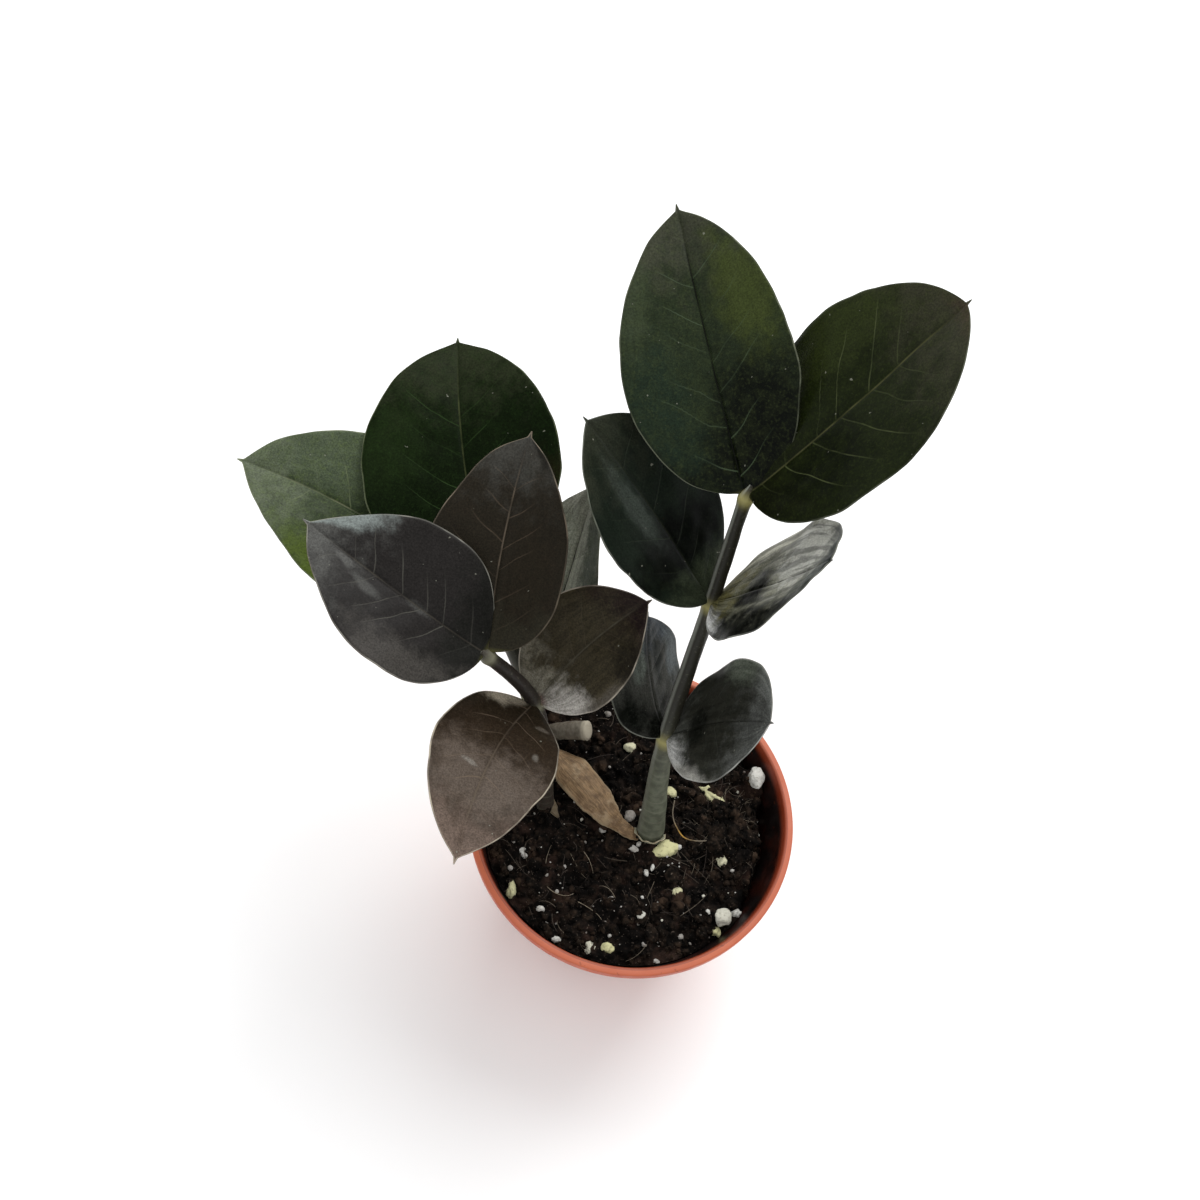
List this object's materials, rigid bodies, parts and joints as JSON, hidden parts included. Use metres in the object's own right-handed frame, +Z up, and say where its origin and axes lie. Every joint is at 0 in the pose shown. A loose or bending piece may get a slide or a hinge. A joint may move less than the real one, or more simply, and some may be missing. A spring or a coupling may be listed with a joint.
{
  "type": "potted zz plant",
  "caption": "Young zz plant with dark glossy feather-like fronds, an old stump and a dry sheath, growing from potting mix in a round tapered plastic nursery pot.",
  "frame": {"origin": "centre of the pot's underside, on the pad in the middle of its base", "axes": "+Z up, the pot's axis and the longest way of the whole plant; -Y the front, towards which the lowest leaflet hangs over the rim; +X to the right of that front, on the side of the tallest frond"},
  "size_m": [0.1646, 0.1504, 0.2099],
  "materials": {
    "terracotta_plastic": "satin terracotta-coloured polypropylene, slightly scuffed",
    "potting_mix": "moist dark peat with fibres and perlite, fully matte",
    "dark_leaf": "waxy near-black green leaf, glossy, thin pale margin",
    "purple_leaf": "waxy dark purple-brown leaf, satin gloss, thin pale margin",
    "green_leaf": "waxy deep green leaf, glossy, thin pale margin",
    "grey_stalk": "dull grey-brown old stalk with a pale cut end",
    "dry_paper": "dry papery tan sheath, matte, lengthwise fibres"
  },
  "bodies": {
    "root": {"pot": "terracotta_plastic", "potting_mix": "potting_mix", "frond_right": "dark_leaf", "frond_front_left": "purple_leaf", "frond_back_left": "green_leaf", "cut_stump": "grey_stalk", "dry_sheath": "dry_paper"}
  },
  "joints": []
}
